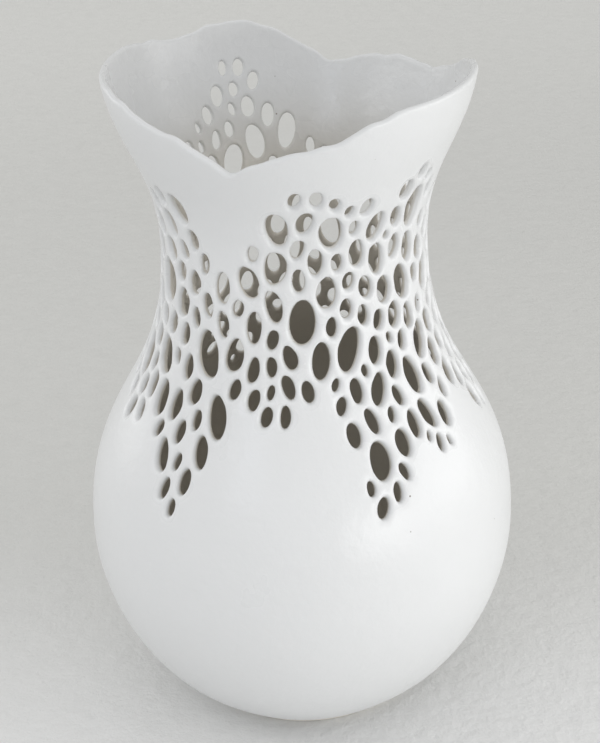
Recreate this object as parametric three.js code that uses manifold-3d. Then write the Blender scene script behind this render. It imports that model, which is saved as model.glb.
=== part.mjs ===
// A pierced porcelain vase: a round belly, a narrow waist and a flared collar with a wavy rim, with a
// band of oval holes cut through the wall around the waist.
// Millimetres, +Z up. The origin is on the vase's axis, on the surface that it stands on.
// An angle goes round the axis from the front (-Y), growing towards the right (+X).

import * as THREE from "three";
import { mergeVertices } from "three/addons/utils/BufferGeometryUtils.js";
import Module from "manifold-3d";

// ---- Driving dimensions ----

const FOOT_RADIUS = 38;
const FOOT_HEIGHT = 3;
const FOOT_WIDTH = 6;
const FOOT_SOFTENING = 1; // the ring's edges are sponged to small slopes

const BELLY_RADIUS = 75;
const BELLY_HEIGHT = 68; // of the widest circle
const WAIST_RADIUS = 45;
const WAIST_HEIGHT = 174; // of the narrowest circle
const RIM_RADIUS = 59.5; // where the rim is at its mean height
const RIM_HEIGHT = 226; // mean height of the wavy rim

const WALL = 3;
const LIP = 2.2; // wall at the rim, which the collar thins to
const FLOOR = 5;

const BELLY_START = 30; // the sections are luted together at these heights
const SHOULDER_START = 96;
const NECK_START = 142;
const COLLAR_START = 182;

const DEGREE = Math.PI / 180;
const WEB = 1.5; // least clay left between two holes
const HOLE_SIZES = [[3.2, 50], [2.6, 130], [2.0, 700], [1.6, 2500]]; // half width and throws
const FILL_SIZES = [[1.4, 4000], [1.15, 5000], [0.95, 6000]]; // thrown into the gaps that are left
const [NARROWEST, WIDEST] = [0.9, 1.1]; // a hole's half width against its listed size
const [ROUNDEST, LONGEST] = [1.25, 2.4]; // a hole's height against its width
const LEVEL_SHARE = 0.5; // how much of that depends on how low the hole is, the rest being chance
const MOST_TILT = 18 * DEGREE;
const [BAND_LOWEST, BAND_HIGHEST] = [-78, 46]; // above WAIST_HEIGHT
const HOLE_SEED = 43;

const SETTLE_STEPS = 40;
const PUSH_WITHIN = 2.2; // holes nearer than this push each other away
const PUSH = 0.3; // the share of a missing gap that one step makes up
const GROW = 1.015; // in one step
const SHRINK = 0.97;
const MOST_GROWTH = 1.3; // in all

const TOOL_REACH = 0.8; // how far in the hole tool's point lies, in waist radii
const TOOL_SIDES = [8, 6]; // of a wide hole and of a narrow one
const WIDE_FROM = 2; // half width of a wide hole

const AROUND = 32; // facets round the vase
const ROW = 16; // greatest height of a facet
const SAME_POINT = 1e-4; // points nearer than this are one

// The rim's waves: angle in degrees, height above RIM_HEIGHT.
const RIM_WAVES = [
  [-20, -12], [-8, -6.5], [7, -2.5], [15, -0.5], [26, 4.5], [45, 8], [62, 8], [84, 6.5],
  [100, 3], [118, -4.8], [140, -5], [152, -6.8], [164, -9.3], [173, -5.5], [184, 1],
  [199, 5.5], [220, 3], [240, 6], [266, 8], [296, 6], [311, 1.5], [323, -1.5], [334, -7.5],
];

// The two edges of the pierced band, the upper one in peaks and the lower one in hanging arms:
// angle in degrees, height above WAIST_HEIGHT.
const BAND_TOP = [
  [-62, 26], [-50, 28], [-39, 6], [-27, 4], [-9, 23], [5, 37], [19, 28], [29, 29], [38, 17],
  [50, 36], [67, 24], [98, 12], [124, 26], [150, 12], [175, 20], [189, 34], [202, 46], [213, 34],
  [228, 24], [262, 10], [280, 16],
];
const BAND_BOTTOM = [
  [-72, -59], [-60, -51], [-50, -60], [-45, -69], [-39, -78], [-33, -62], [-28, -50], [-21, -40],
  [-8, -47], [5, -38], [14, -41], [19, -62], [24, -78], [30, -67], [36, -63], [42, -55],
  [51, -63], [66, -46], [84, -64], [104, -42], [124, -76], [146, -44], [164, -60], [180, -42],
  [203, -78], [226, -42], [244, -62], [264, -40],
];

const wasm = await Module();
wasm.setup();

// ---- Curves of the wall ----

function bezier(...points) {
  return new THREE.CubicBezierCurve(...points.map(([r, z]) => new THREE.Vector2(r, z)));
}

// The outer wall in three bends: foot to belly, belly to waist, waist to rim. Each handle is a share
// of its own bend, so that the bends stay smooth at any size.
const BELLY_RISE = BELLY_HEIGHT - FOOT_HEIGHT;
const WAIST_RISE = WAIST_HEIGHT - BELLY_HEIGHT;
const COLLAR_RISE = RIM_HEIGHT - WAIST_HEIGHT;
const FLARE = RIM_RADIUS - WAIST_RADIUS;
const outline = new THREE.CurvePath();
outline.add(
  bezier(
    [FOOT_RADIUS, FOOT_HEIGHT],
    [FOOT_RADIUS + 0.5 * (BELLY_RADIUS - FOOT_RADIUS), FOOT_HEIGHT + 0.1 * BELLY_RISE],
    [BELLY_RADIUS, BELLY_HEIGHT - 0.42 * BELLY_RISE],
    [BELLY_RADIUS, BELLY_HEIGHT],
  ),
);
outline.add(
  bezier(
    [BELLY_RADIUS, BELLY_HEIGHT],
    [BELLY_RADIUS, BELLY_HEIGHT + 0.48 * WAIST_RISE],
    [WAIST_RADIUS, WAIST_HEIGHT - 0.53 * WAIST_RISE],
    [WAIST_RADIUS, WAIST_HEIGHT],
  ),
);
outline.add(
  bezier(
    [WAIST_RADIUS, WAIST_HEIGHT],
    [WAIST_RADIUS, WAIST_HEIGHT + 0.53 * COLLAR_RISE],
    [RIM_RADIUS - 0.1 * FLARE, RIM_HEIGHT - 0.3 * COLLAR_RISE],
    [RIM_RADIUS + 0.1 * FLARE, RIM_HEIGHT + 0.1 * COLLAR_RISE],
  ),
);

// The outer wall's radius at each whole step of height, read off the bends once.
const STEP = 0.25;
const bendPoints = outline.getPoints(200);
const radii = [];
for (let z = FOOT_HEIGHT, i = 1; z < bendPoints.at(-1).y; z += STEP) {
  while (bendPoints[i].y < z) i += 1;
  const [a, b] = [bendPoints[i - 1], bendPoints[i]];
  radii.push(THREE.MathUtils.mapLinear(z, a.y, b.y, a.x, b.x));
}

// The outer wall's radius at a height, which carries straight on past the ends.
function radiusAt(z) {
  const place = (z - FOOT_HEIGHT) / STEP;
  const i = THREE.MathUtils.clamp(Math.floor(place), 0, radii.length - 2);
  return THREE.MathUtils.lerp(radii[i], radii[i + 1], place - i);
}

// How fast that radius grows with the height.
function slopeAt(z) {
  const step = 1;
  return (radiusAt(z + step) - radiusAt(z - step)) / (2 * step);
}

// The wall's thickness, which thins from the waist to the lip.
function wallAt(z) {
  const share = THREE.MathUtils.clamp((z - WAIST_HEIGHT) / COLLAR_RISE, 0, 1);
  return THREE.MathUtils.lerp(WALL, LIP, share);
}

// The inner wall's radius at a height.
function innerRadiusAt(z) {
  return radiusAt(z) - wallAt(z) * Math.hypot(1, slopeAt(z));
}

// A smooth closed curve over the angle, through a list of [degrees, height].
function waveAt(knots, degrees) {
  const count = knots.length;
  const knot = (i) => {
    const turn = Math.floor(i / count);
    const [angle, height] = knots[i - turn * count];
    return [angle + 360 * turn, height];
  };
  const start = knots[0][0];
  const wrapped = start + THREE.MathUtils.euclideanModulo(degrees - start, 360);
  let i = 0;
  while (knot(i + 1)[0] <= wrapped) i += 1;
  const [[x0, y0], [x1, y1], [x2, y2], [x3, y3]] = [knot(i - 1), knot(i), knot(i + 1), knot(i + 2)];
  const span = x2 - x1;
  const t = (wrapped - x1) / span;
  const [leave, arrive] = [((y2 - y0) / (x2 - x0)) * span, ((y3 - y1) / (x3 - x1)) * span];
  return (
    y1 * (2 * t ** 3 - 3 * t ** 2 + 1) +
    leave * (t ** 3 - 2 * t ** 2 + t) +
    y2 * (3 * t ** 2 - 2 * t ** 3) +
    arrive * (t ** 3 - t ** 2)
  );
}

function rimAt(degrees) {
  return RIM_HEIGHT + waveAt(RIM_WAVES, degrees);
}

// ---- Placing the holes ----

// Numbers from 0 to 1 in a fixed order.
function numbersFrom(seed) {
  let state = seed;
  return () => {
    state = (state * 16807) % 2147483647;
    return state / 2147483647;
  };
}

// How far a hole's edge lies from its middle, measured square to a line across that direction.
function reach(hole, direction) {
  const turned = direction - hole.tilt;
  return Math.hypot(hole.halfWidth * Math.cos(turned), hole.halfHeight * Math.sin(turned));
}

// The way from one hole's middle to another's along the wall: to the right and up.
function wayBetween(a, b) {
  const turn = THREE.MathUtils.euclideanModulo(b.angle - a.angle + 180, 360) - 180;
  const middle = (a.z + b.z) / 2;
  return [turn * DEGREE * radiusAt(middle), (b.z - a.z) * Math.hypot(1, slopeAt(middle))];
}

// How far two holes stand apart: the widest gap between two parallel lines that part them, out of a
// fan of headings about the line between their middles.
const FAN = [-40, -20, 0, 20, 40].map((turn) => turn * DEGREE);

function gapBetween(a, b) {
  const [right, up] = wayBetween(a, b);
  const [length, heading] = [Math.hypot(right, up), Math.atan2(up, right)];
  const gaps = FAN.map(
    (turn) => length * Math.cos(turn) - reach(a, heading + turn) - reach(b, heading + turn),
  );
  return Math.max(...gaps);
}

function nearHoles(hole, holes) {
  const far = 4 * HOLE_SIZES[0][0] + 2 * hole.halfHeight;
  return holes.filter((other) => {
    if (other === hole || Math.abs(other.z - hole.z) > far) return false;
    return Math.hypot(...wayBetween(hole, other)) < far;
  });
}

function inBand(hole) {
  const rise = hole.halfHeight / Math.hypot(1, slopeAt(hole.z));
  const top = WAIST_HEIGHT + waveAt(BAND_TOP, hole.angle);
  const bottom = WAIST_HEIGHT + waveAt(BAND_BOTTOM, hole.angle);
  return hole.z + rise < top && hole.z - rise > bottom;
}

// Holes thrown at random into the band, each kept where it leaves a web of clay to every other.
// They are longer the lower they are.
function throwHoles(holes, sizes, next) {
  for (const [size, throws] of sizes) {
    for (let i = 0; i < throws; i += 1) {
      const halfWidth = size * THREE.MathUtils.lerp(NARROWEST, WIDEST, next());
      const level = next();
      const length = THREE.MathUtils.lerp(next(), 1 - level, LEVEL_SHARE);
      const hole = {
        angle: 360 * next(),
        z: WAIST_HEIGHT + THREE.MathUtils.lerp(BAND_LOWEST, BAND_HIGHEST, level),
        halfWidth,
        halfHeight: halfWidth * THREE.MathUtils.lerp(ROUNDEST, LONGEST, length),
        tilt: (2 * next() - 1) * MOST_TILT,
        grown: 1,
      };
      if (!inBand(hole)) continue;
      if (nearHoles(hole, holes).every((other) => gapBetween(hole, other) > WEB)) holes.push(hole);
    }
  }
}

// The least gap from a hole to another, and the push that those too close to it give it.
function crowding(hole, holes) {
  let [right, up, least] = [0, 0, Infinity];
  for (const other of nearHoles(hole, holes)) {
    const gap = gapBetween(hole, other);
    least = Math.min(least, gap);
    if (gap > PUSH_WITHIN) continue;
    const [toRight, toUp] = wayBetween(hole, other);
    const share = (PUSH * (PUSH_WITHIN - gap)) / Math.hypot(toRight, toUp);
    right -= toRight * share;
    up -= toUp * share;
  }
  return { right, up, least };
}

function resize(hole, factor) {
  hole.halfWidth *= factor;
  hole.halfHeight *= factor;
  hole.grown *= factor;
}

// One step of settling: each hole moves away from those too close to it, grows where there is room
// for it and shrinks where there is not.
function settle(holes) {
  const pushes = holes.map((hole) => crowding(hole, holes));
  holes.forEach((hole, i) => {
    const { right, up, least } = pushes[i];
    const moved = {
      ...hole,
      angle: hole.angle + right / radiusAt(hole.z) / DEGREE,
      z: hole.z + up / Math.hypot(1, slopeAt(hole.z)),
    };
    if (least < WEB) resize(moved, SHRINK);
    else if (hole.grown < MOST_GROWTH) resize(moved, GROW);
    if (inBand(moved)) Object.assign(hole, moved);
    else if (least < WEB) resize(hole, SHRINK);
  });
}

// Every hole that still crowds another shrinks until the web between them is thick enough.
function trim(holes) {
  for (const hole of holes) {
    while (crowding(hole, holes).least < WEB) resize(hole, SHRINK);
  }
}

function placeHoles() {
  const next = numbersFrom(HOLE_SEED);
  const holes = [];
  for (const sizes of [HOLE_SIZES, ...FILL_SIZES.map((size) => [size])]) {
    throwHoles(holes, sizes, next);
    for (let i = 0; i < SETTLE_STEPS; i += 1) settle(holes);
    trim(holes);
  }
  return holes;
}

// ---- Solids ----

// A three.js geometry as a manifold-3d solid.
function solidOf(geometry) {
  const bare = geometry.clone();
  bare.deleteAttribute("normal");
  bare.deleteAttribute("uv");
  const merged = mergeVertices(bare, SAME_POINT);
  return new wasm.Manifold(
    new wasm.Mesh({
      numProp: 3,
      vertProperties: merged.attributes.position.array,
      triVerts: new Uint32Array(merged.index.array),
    }),
  );
}

function geometryOf(solid) {
  const { vertProperties, triVerts } = solid.getMesh();
  const geometry = new THREE.BufferGeometry();
  geometry.setAttribute("position", new THREE.BufferAttribute(vertProperties, 3));
  geometry.setIndex(new THREE.BufferAttribute(triVerts, 1));
  return geometry;
}

// A profile of [radius, height] points turned round the axis.
function turned(profile) {
  const points = profile.map(([r, z]) => new THREE.Vector2(r, z));
  return new THREE.LatheGeometry(points, AROUND).rotateX(Math.PI / 2);
}

// Heights from one to another in even steps of at most ROW.
function rows(from, to) {
  const count = Math.ceil((to - from) / ROW);
  return Array.from({ length: count + 1 }, (_, i) => from + ((to - from) * i) / count);
}

// A section of the wall between two heights, as a closed ring.
function wallRing(from, to) {
  const heights = rows(from, to);
  const outside = heights.map((z) => [radiusAt(z), z]);
  const inside = heights.map((z) => [innerRadiusAt(z), z]).reverse();
  return turned([...outside, ...inside, outside[0]]);
}

// The oval tool that cuts one hole: a cone square to the wall, with its point well inside the vase,
// because a blade drawn round a hole leans towards its middle.
function holeTool(hole) {
  const sides = TOOL_SIDES[hole.halfWidth > WIDE_FROM ? 0 : 1];
  const outside = WALL;
  const inside = TOOL_REACH * WAIST_RADIUS;
  const angle = hole.angle * DEGREE;
  const slope = slopeAt(hole.z);
  const out = new THREE.Vector3(Math.sin(angle), -Math.cos(angle), -slope).normalize();
  const right = new THREE.Vector3(Math.cos(angle), Math.sin(angle), 0);
  const down = new THREE.Vector3().crossVectors(right, out);
  const radius = radiusAt(hole.z);
  const middle = new THREE.Vector3(radius * Math.sin(angle), -radius * Math.cos(angle), hole.z);
  const widen = (inside + outside) / inside;
  return new THREE.ConeGeometry(widen, inside + outside, sides)
    .rotateX(Math.PI)
    .translate(0, outside - (inside + outside) / 2, 0)
    .scale(hole.halfWidth, 1, hole.halfHeight)
    .rotateY(hole.tilt)
    .applyMatrix4(new THREE.Matrix4().makeBasis(right, out, down).setPosition(middle));
}

const holeTools = wasm.Manifold.union(placeHoles().map((hole) => solidOf(holeTool(hole))));

function pierced(geometry) {
  return geometryOf(solidOf(geometry).subtract(holeTools));
}

// ---- Sections of the vase ----

function footRing() {
  const inner = FOOT_RADIUS - FOOT_WIDTH;
  const soft = FOOT_SOFTENING;
  return turned([
    [inner, FOOT_HEIGHT], [inner, soft], [inner + soft, 0], [FOOT_RADIUS - 2 * soft, 0],
    [FOOT_RADIUS - soft, soft], [FOOT_RADIUS, FOOT_HEIGHT], [inner, FOOT_HEIGHT],
  ]);
}

function bowlBase() {
  const floorTop = FOOT_HEIGHT + FLOOR;
  const outside = rows(FOOT_HEIGHT, BELLY_START).map((z) => [radiusAt(z), z]);
  const inside = rows(floorTop, BELLY_START).map((z) => [innerRadiusAt(z), z]).reverse();
  return turned([[0, FOOT_HEIGHT], ...outside, ...inside, [0, floorTop]]);
}

function bellyWall() {
  return wallRing(BELLY_START, SHOULDER_START);
}

function piercedShoulder() {
  return pierced(wallRing(SHOULDER_START, NECK_START));
}

function piercedNeck() {
  return pierced(wallRing(NECK_START, COLLAR_START));
}

// The collar is turned to the mean rim height, then each vertical line of it is stretched or
// shortened to reach the wave, keeping to the flare's curve.
function flaredCollar() {
  const heights = rows(COLLAR_START, RIM_HEIGHT);
  const shares = heights.map((z) => (z - COLLAR_START) / (RIM_HEIGHT - COLLAR_START));
  const stations = [
    ...shares.map((share) => ({ share, depth: 0 })),
    ...shares.map((share) => ({ share, depth: 1 })).reverse(),
    { share: 0, depth: 0 },
  ];
  const ring = turned(stations.map(({ share, depth }) => [RIM_RADIUS - depth, share]));
  const position = ring.attributes.position;
  for (let i = 0; i < position.count; i += 1) {
    const { share, depth } = stations[i % stations.length];
    const angle = (Math.floor(i / stations.length) * 2 * Math.PI) / AROUND;
    const z = THREE.MathUtils.lerp(COLLAR_START, rimAt(angle / DEGREE), share);
    const r = depth ? innerRadiusAt(z) : radiusAt(z);
    position.setXYZ(i, r * Math.sin(angle), -r * Math.cos(angle), z);
  }
  return pierced(ring);
}

// ---- Materials and the finished group ----

function glazedPorcelain() {
  return new THREE.MeshStandardMaterial({ color: 0xf0efec, roughness: 0.35, metalness: 0 });
}

function barePorcelain() {
  return new THREE.MeshStandardMaterial({ color: 0xe9e5dc, roughness: 0.85, metalness: 0 });
}

function piece(name, geometry, material) {
  const mesh = new THREE.Mesh(geometry, material);
  mesh.name = name;
  return mesh;
}

const vase = new THREE.Group();
vase.name = "pierced_vase";
vase.add(
  piece("foot_ring", footRing(), barePorcelain()),
  piece("bowl_base", bowlBase(), glazedPorcelain()),
  piece("belly_wall", bellyWall(), glazedPorcelain()),
  piece("pierced_shoulder", piercedShoulder(), glazedPorcelain()),
  piece("pierced_neck", piercedNeck(), glazedPorcelain()),
  piece("flared_collar", flaredCollar(), glazedPorcelain()),
);

export default vase;
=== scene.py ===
"""A pierced porcelain vase in a satin white glaze: a round belly, a narrow waist and a flared collar
with a wavy rim, with a band of oval holes cut through the wall around the waist.

Metres, +Z up. The origin is on the vase's axis, on the surface that it stands on. An angle goes round
the axis from the front (-Y), growing towards the right (+X), so a point of the wall is
(r sin angle, -r cos angle, z).
"""

import math

import bpy
import numpy as np
from bpy.props import FloatProperty, FloatVectorProperty, IntProperty, PointerProperty
from mathutils import Matrix, Vector
from mathutils.geometry import delaunay_2d_cdt


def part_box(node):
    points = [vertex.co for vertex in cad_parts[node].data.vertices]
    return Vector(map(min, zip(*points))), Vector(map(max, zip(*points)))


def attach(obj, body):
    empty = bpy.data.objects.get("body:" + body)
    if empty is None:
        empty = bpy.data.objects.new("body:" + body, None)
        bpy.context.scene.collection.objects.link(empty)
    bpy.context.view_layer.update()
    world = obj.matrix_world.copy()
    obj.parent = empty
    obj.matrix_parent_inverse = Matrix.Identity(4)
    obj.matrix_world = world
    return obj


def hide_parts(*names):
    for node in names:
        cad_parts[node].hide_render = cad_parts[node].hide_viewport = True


bl_info = {
    "name": "Pierced Porcelain Vase",
    "version": (1, 0, 0),
    "blender": (4, 5, 0),
    "location": "3D View > Sidebar > Vase",
    "description": "A thrown, pierced and glazed porcelain vase around its measured frame",
    "category": "Add Mesh",
}

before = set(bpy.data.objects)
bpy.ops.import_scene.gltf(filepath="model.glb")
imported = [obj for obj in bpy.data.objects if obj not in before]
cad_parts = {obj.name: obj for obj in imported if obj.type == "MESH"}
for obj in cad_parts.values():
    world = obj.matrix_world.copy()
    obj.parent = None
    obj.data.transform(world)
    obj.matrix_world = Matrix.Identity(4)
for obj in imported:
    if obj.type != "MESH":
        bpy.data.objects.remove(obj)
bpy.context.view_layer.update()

MM = 0.001
DEGREE = math.pi / 180
PIERCED_NODES = ("pierced_shoulder", "pierced_neck", "flared_collar")

# The rim's waves: angle in degrees, height in millimetres above its mean height.
RIM_WAVES = (
    (-20, -12), (-8, -6.5), (7, -2.5), (15, -0.5), (26, 4.5), (45, 8), (62, 8), (84, 6.5),
    (100, 3), (118, -4.8), (140, -5), (152, -6.8), (164, -9.3), (173, -5.5), (184, 1),
    (199, 5.5), (220, 3), (240, 6), (266, 8), (296, 6), (311, 1.5), (323, -1.5), (334, -7.5),
)

# Reading the holes off the frame.
SQUARE = 0.5  # how far a hole's side may lean towards the wall's face, as a sine
SLIVER = 0.02 * MM  # a thinner triangle has no normal worth reading
SEAM = 0.01 * MM  # a triangle with all its corners this near a seam belongs to the seam
TOUCH = 0.05 * MM  # corners in a cell of this size touch
GRAIN = 0.01 * MM  # corners are rounded to this
FACE_DEPTH = 1.5 * MM  # corners less deep than this lie on the outer face
WIDEST_HOLE = 30 * DEGREE  # anything wider is the rim
CUT_CORNERS = 1.05  # an oval is this much bigger than the six or eight-sided hole it stands for

# Making the skin.
LEAN = 0.065  # the share by which a hole is narrower at the wall's inner face
MEAN_RADIUS = 55 * MM  # of the pierced part, which turns lengths into steps of the level map
BAND_MARGIN = 8 * MM  # how far below the shoulder's start the sheet begins
BOWL_STEP = 2.6 * MM  # mean height of the bowl's rows
BOWL_EASE = 1.25  # above 1, those rows draw together near the foot
FLOOR_GAP = 1.2 * MM  # kept between the floor and the lowest row above it
DISC_ROWS = 12
DISC_EASE = 0.3  # the outer share of a disc over which its height settles
LIP_ROWS = 8
FOOT_COLUMNS = 160
FOOT_SOFT, FOOT_WIDE = 0.9 * MM, 1.6 * MM  # height and width of its rounded outer edge
FOOT_CREST = 0.2 * MM  # how far its hidden top rises in the middle

# The glaze and the clay: scales of noise in spots a metre, specks in shares of a cell.
CLOUDS, PATCHES, PEEL, RIPPLE, TOOTH = 30.0, 55.0, 650.0, 180.0, 1800.0
SPECK_CELLS, SPECK_SHARE, SPECK_EDGE = 200.0, 0.06, (0.075, 0.045)


# ---- Sizes and colours that a user would change ----


def length(name, description, default, low, high):
    """A size in metres."""
    return FloatProperty(
        name=name,
        description=description,
        default=default,
        min=low,
        max=high,
        subtype="DISTANCE",
        unit="LENGTH",
    )


def linear(hex_colour):
    """An sRGB hex colour as linear red, green and blue: each channel c turns to c / 12.92 where it is
    dark, and to ((c + 0.055) / 1.055) to the power 2.4 elsewhere."""
    channels = [int(hex_colour[i : i + 2], 16) / 255 for i in (1, 3, 5)]
    return tuple(c / 12.92 if c <= 0.04045 else ((c + 0.055) / 1.055) ** 2.4 for c in channels)


def colour(name, description, hex_colour):
    return FloatVectorProperty(
        name=name,
        description=description,
        default=linear(hex_colour),
        min=0,
        max=1,
        size=3,
        subtype="COLOR",
    )


def watts(name, description, default):
    """The power of a lamp."""
    return FloatProperty(name=name, description=description, default=default, min=0, unit="POWER")


class VaseSizes(bpy.types.PropertyGroup):
    foot_radius: length("Foot radius", "Outer radius of the foot ring", 0.038, 0.02, 0.06)
    foot_height: length("Foot height", "Height of the foot ring", 0.003, 0.001, 0.01)
    foot_width: length("Foot width", "Width of the foot ring", 0.006, 0.003, 0.015)
    belly_radius: length(
        "Belly radius", "Outer radius of the widest circle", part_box("belly_wall")[1].x, 0.05, 0.12
    )
    belly_height: length("Belly height", "Height of the widest circle", 0.068, 0.04, 0.12)
    waist_radius: length("Waist radius", "Outer radius of the narrowest circle", 0.045, 0.03, 0.08)
    waist_height: length("Waist height", "Height of the narrowest circle", 0.174, 0.12, 0.25)
    rim_radius: length("Rim radius", "Outer radius at the rim's mean height", 0.0595, 0.04, 0.09)
    rim_height: length("Rim height", "Mean height of the wavy rim", 0.226, 0.18, 0.32)
    wall: length("Wall", "Thickness of the wall up to the waist", 0.003, 0.002, 0.006)
    lip: length("Lip", "Thickness of the wall at the rim", 0.0022, 0.001, 0.005)
    floor: length("Floor", "Thickness of the floor", 0.005, 0.003, 0.01)
    edge: length("Edge", "Rounding of the holes' outer edges", 0.0014, 0.0003, 0.002)
    inner_edge: length("Inner edge", "Rounding of the holes' inner edges", 0.0008, 0.0002, 0.001)
    sway: length("Sway", "How far the thrown wall strays from a true turned one", 0.00015, 0, 0.001)
    seed: IntProperty(name="Seed", description="Order of small irregularities", default=5, min=1)


class VaseColours(bpy.types.PropertyGroup):
    # Painted shade: the glaze is painted up to a tenth darker on the collar, most of all on its inner
    # face.
    glaze: colour("Glaze", "Satin white glaze where it lies thick", "#E3E4E4")
    # Painted shade: the inside below the collar is painted in this darker, warmer tone instead of the
    # glaze.
    shaded_inside_colour: colour("Thin glaze", "Inside, where the glaze was only swilled round", "#CAC5BB")
    clay: colour("Clay", "Bare fired porcelain under the foot", "#E9E5DC")
    speck: colour("Speck", "Iron specks in the glaze", "#7A7268")


class StageSettings(bpy.types.PropertyGroup):
    # Painted light: the sheet's near and far tones paint the paper paler at its front and far behind the
    # vase than under it.
    sheet: colour("Sheet", "Pale graded paper under and behind the vase", "#D0D0CD")
    near: colour("Near", "The sheet's paler tone at its front", "#E5E5E4")
    far: colour("Far", "The sheet's tone well behind the vase", "#E2E2DF")
    sky: FloatProperty(name="Sky", description="Strength of the even room light", default=0.76, min=0)
    right: watts("Right", "The low lamp at the right", 1.68)
    front: watts("Front", "The low lamp at the front right", 1.65)
    left: watts("Left", "The high window at the left", 1.35)
    back: watts("Back", "Each of the two lamps behind", 0.95)
    pane: watts("Pane", "The small cool window at the front left", 0.6)


# ---- The wall's outline ----


def bend(start, leave, arrive, end, count=400):
    """A cubic curve between two points with two handles: (1-t)³ start + 3t(1-t)² leave
    + 3t²(1-t) arrive + t³ end, for t from 0 to 1."""
    t = np.linspace(0, 1, count)[:, None]
    points = (np.array(p) for p in (start, leave, arrive, end))
    weights = ((1 - t) ** 3, 3 * t * (1 - t) ** 2, 3 * t**2 * (1 - t), t**3)
    return sum(w * p for w, p in zip(weights, points))


class Outline:
    """The outer line of the turned wall, and what follows from it at any height."""

    def __init__(self, s):
        belly_rise = s.belly_height - s.foot_height
        waist_rise = s.waist_height - s.belly_height
        collar_rise = s.rim_height - s.waist_height
        flare = s.rim_radius - s.waist_radius
        foot, belly = (s.foot_radius, s.foot_height), (s.belly_radius, s.belly_height)
        waist = (s.waist_radius, s.waist_height)
        last = (s.rim_radius + 0.1 * flare, s.rim_height + 0.1 * collar_rise)
        bends = [
            bend(
                foot,
                (foot[0] + 0.5 * (belly[0] - foot[0]), foot[1] + 0.1 * belly_rise),
                (belly[0], belly[1] - 0.42 * belly_rise),
                belly,
            ),
            bend(
                belly,
                (belly[0], belly[1] + 0.48 * waist_rise),
                (waist[0], waist[1] - 0.53 * waist_rise),
                waist,
            ),
            bend(
                waist,
                (waist[0], waist[1] + 0.53 * collar_rise),
                (s.rim_radius - 0.1 * flare, s.rim_height - 0.3 * collar_rise),
                last,
            ),
        ]
        line = np.concatenate([bends[0], bends[1][1:], bends[2][1:]])
        onward = line[-1] + 10 * (line[-1] - line[-2])  # carries straight on past the rim
        line = np.vstack([line, onward])
        self.r, self.z = line[:, 0], line[:, 1]
        self.k = np.gradient(self.r, self.z)
        steps = np.hypot(np.diff(self.r), np.diff(self.z))
        self.m = np.concatenate([[0], np.cumsum(steps * 2 / (self.r[1:] + self.r[:-1]))])
        self.sizes, self.collar_rise = s, collar_rise

    def radius(self, z):
        return np.interp(z, self.z, self.r)

    def slope(self, z):
        return np.interp(z, self.z, self.k)

    def level(self, z):
        """The height on a map of the wall that keeps every small shape true: the integral of
        (arc length / radius), beside the angle as the other coordinate."""
        return np.interp(z, self.z, self.m)

    def height(self, level):
        return np.interp(level, self.m, self.z)

    def thickness(self, z):
        s = self.sizes
        share = np.clip((z - s.waist_height) / self.collar_rise, 0, 1)
        return s.wall + (s.lip - s.wall) * share

    def skin(self, angle, z, depth):
        """Points of the wall at an angle and a height, sunk below its outer face by a depth: the
        outline's point less the depth times the outline's outward normal."""
        k = self.slope(z)
        tall = np.hypot(1, k)
        r = self.radius(z) - depth / tall
        return np.stack([r * np.sin(angle), -r * np.cos(angle), z + depth * k / tall], axis=-1)


def wave(knots, angle):
    """A smooth closed curve over the angle through the knots: a cubic between each two knots, whose
    slope at a knot is that of the line from the knot before to the knot after."""
    x = np.radians([k[0] for k in knots])
    y = np.array([k[1] for k in knots], float)
    turn = 2 * math.pi
    x = np.concatenate([x[-2:] - turn, x, x[:3] + turn])
    y = np.concatenate([y[-2:], y, y[:3]])
    tangent = np.zeros_like(y)
    tangent[1:-1] = (y[2:] - y[:-2]) / (x[2:] - x[:-2])
    a = x[2] + np.mod(angle - x[2], turn)
    i = np.clip(np.searchsorted(x, a, side="right") - 1, 1, len(x) - 3)
    span = x[i + 1] - x[i]
    t = (a - x[i]) / span
    return (
        y[i] * (2 * t**3 - 3 * t**2 + 1)
        + tangent[i] * span * (t**3 - 2 * t**2 + t)
        + y[i + 1] * (3 * t**2 - 2 * t**3)
        + tangent[i + 1] * span * (t**3 - t**2)
    )


def sway(angle, z, size, seed):
    """How far a thrown wall strays from a true turned one: a sum of eight slow waves round and up
    the wall, each cos(n angle + k z + phase), scaled to the size."""
    rng = np.random.default_rng(seed)
    total = np.zeros(np.broadcast(angle, z).shape)
    for n in (1, 2, 2, 3, 3, 4, 5, 6):
        k, phase = rng.uniform(-45, 45), rng.uniform(0, 2 * math.pi)
        total = total + np.cos(n * angle + k * z + phase)
    return size * total / 2


# ---- Reading the holes off the frame ----


def wrapped(angle):
    """An angle brought to between minus and plus half a turn."""
    return np.mod(angle + math.pi, 2 * math.pi) - math.pi


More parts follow.
